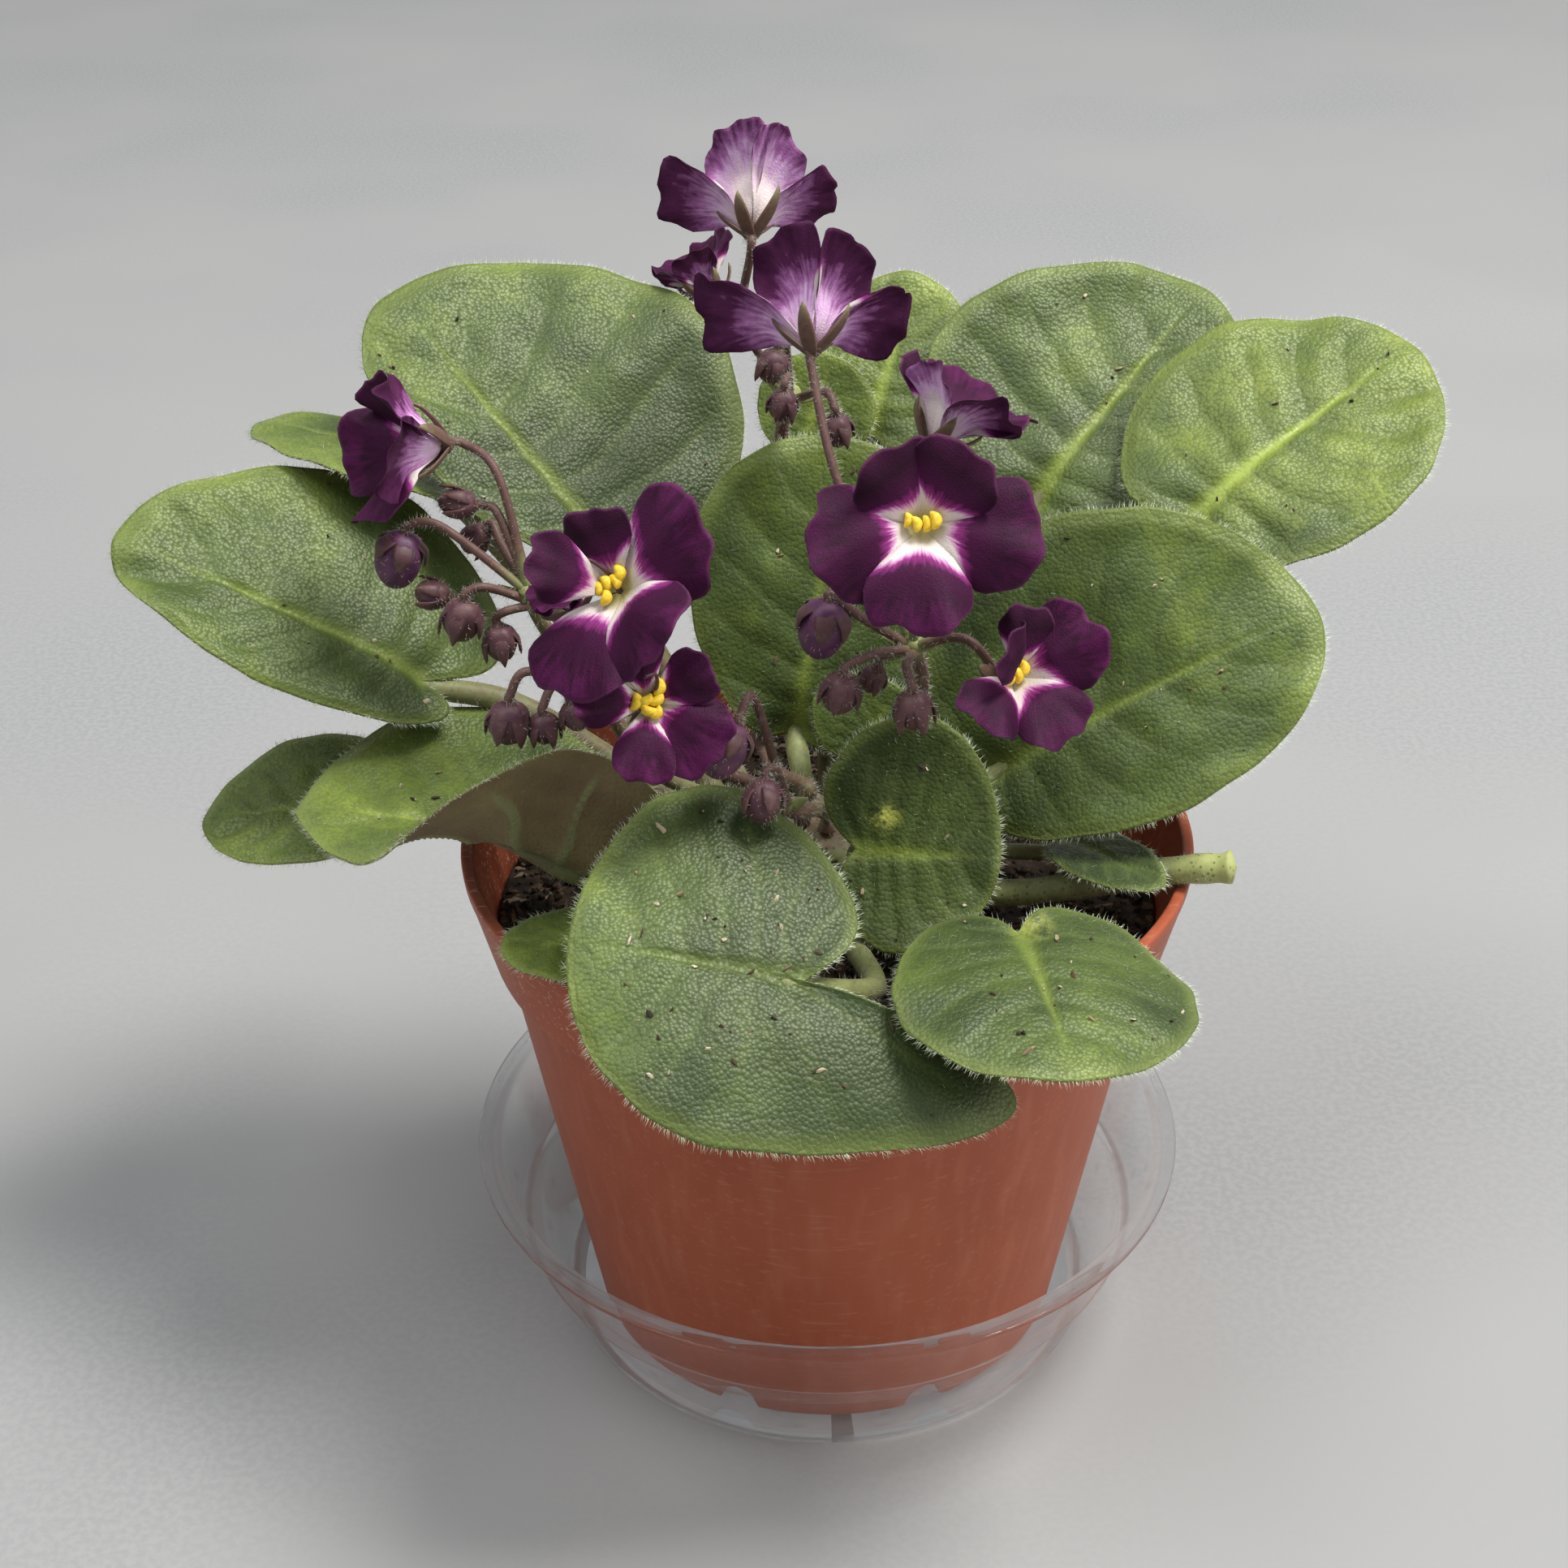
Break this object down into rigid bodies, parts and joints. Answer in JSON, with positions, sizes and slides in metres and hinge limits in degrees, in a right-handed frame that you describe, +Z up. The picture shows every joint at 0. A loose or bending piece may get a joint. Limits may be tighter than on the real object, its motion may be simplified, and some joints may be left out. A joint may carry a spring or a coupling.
{
  "type": "potted african violet",
  "caption": "African violet in flower, with broad hairy leaves and dark violet flowers, in a terracotta-coloured plastic pot on a clear plastic saucer.",
  "frame": {"origin": "centre of the saucer's underside, on the surface the saucer stands on, on the pot's axis", "axes": "+Z up along the pot's axis; -Y towards the front, where the largest low leaf hangs over the rim; +X to the viewer's right"},
  "size_m": [0.2137, 0.1499, 0.2027],
  "materials": {
    "clear_plastic": "gloss",
    "terracotta_plastic": "satin",
    "potting_mix": "matte",
    "leaf": "satin",
    "stalk": "matte",
    "petal": "matte",
    "bud": "matte",
    "pollen_sac": "satin"
  },
  "bodies": {
    "root": {"anthers_1": "pollen_sac", "anthers_2": "pollen_sac", "anthers_3": "pollen_sac", "anthers_4": "pollen_sac", "bud_01": "bud", "bud_02": "bud", "bud_03": "bud", "bud_04": "bud", "bud_05": "bud", "bud_06": "bud", "bud_07": "bud", "bud_08": "bud", "bud_09": "bud", "bud_10": "bud", "bud_11": "bud", "bud_12": "bud", "bud_13": "bud", "bud_14": "bud", "bud_15": "bud", "bud_16": "bud", "bud_17": "bud", "bud_18": "bud", "corolla_01": "petal", "corolla_02": "petal", "corolla_03": "petal", "corolla_04": "petal", "corolla_05": "petal", "corolla_06": "petal", "corolla_07": "petal", "corolla_08": "petal", "corolla_09": "petal", "corolla_10": "petal", "crown": "stalk", "cut_petiole": "leaf", "flower_stalk_1": "stalk", "flower_stalk_2": "stalk", "flower_stalk_3": "stalk", "flower_stalk_4": "stalk", "flower_stalk_5": "stalk", "leaf_01": "leaf", "leaf_02": "leaf", "leaf_03": "leaf", "leaf_04": "leaf", "leaf_05": "leaf", "leaf_06": "leaf", "leaf_07": "leaf", "leaf_08": "leaf", "leaf_09": "leaf", "leaf_10": "leaf", "leaf_11": "leaf", "leaf_12": "leaf", "leaf_13": "leaf", "leaf_14": "leaf", "leaf_15": "leaf", "leaf_16": "leaf", "leaf_17": "leaf", "pot": "terracotta_plastic", "saucer": "clear_plastic", "soil": "potting_mix"}
  },
  "joints": []
}
